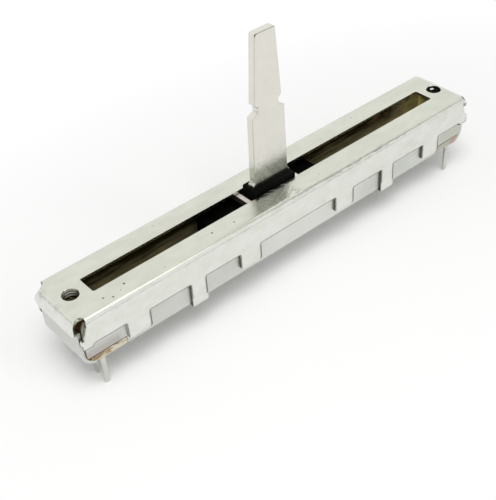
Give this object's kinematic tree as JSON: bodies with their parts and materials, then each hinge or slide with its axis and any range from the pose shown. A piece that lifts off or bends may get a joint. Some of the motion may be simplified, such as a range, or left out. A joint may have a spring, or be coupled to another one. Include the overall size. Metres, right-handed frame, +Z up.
{
  "type": "slide potentiometer",
  "caption": "Slide potentiometer: long sheet-metal case with a slot, a flat metal lever that slides in it, and flat pins below for a circuit board.",
  "frame": {"origin": "midway between the two tapped holes, on the outer top face of the cover", "axes": "+X along the travel, +Y across the body, +Z up along the lever"},
  "size_m": [0.0866, 0.012, 0.0432],
  "materials": {
    "cover_steel": "bright plated, fine brushed",
    "tray_steel": "dull plated",
    "laminate": "phenolic paper laminate",
    "carbon": "printed carbon",
    "silver_print": "printed silver",
    "black_moulding": "moulded, satin",
    "lever_steel": "nickel plated",
    "spring_bronze": "rolled",
    "tinned_brass": "tinned"
  },
  "bodies": {
    "housing": {"cover": "cover_steel", "tray": "tray_steel", "element_board": "laminate", "carbon_track": "carbon", "collector_track": "silver_print", "end_pad_left": "silver_print", "end_pad_right": "silver_print", "carbon_track_back": "carbon", "collector_track_back": "silver_print", "end_pad_left_back": "silver_print", "end_pad_right_back": "silver_print", "terminal_front_left": "tinned_brass", "rivet_front_left": "tinned_brass", "terminal_front_right": "tinned_brass", "rivet_front_right": "tinned_brass", "terminal_front_inner": "tinned_brass", "rivet_front_inner": "tinned_brass", "terminal_back_left": "tinned_brass", "rivet_back_left": "tinned_brass", "terminal_back_right": "tinned_brass", "rivet_back_right": "tinned_brass", "terminal_back_inner": "tinned_brass", "rivet_back_inner": "tinned_brass"},
    "slider": {"carriage": "black_moulding", "lever": "lever_steel", "friction_leaf": "spring_bronze", "wiper": "spring_bronze", "wiper_back": "spring_bronze"}
  },
  "joints": [
    {"name": "slider_travel", "type": "slide", "parent": "housing", "child": "slider", "axis": [1, 0, 0], "range_m": [-0.02893, 0.03107]}
  ]
}
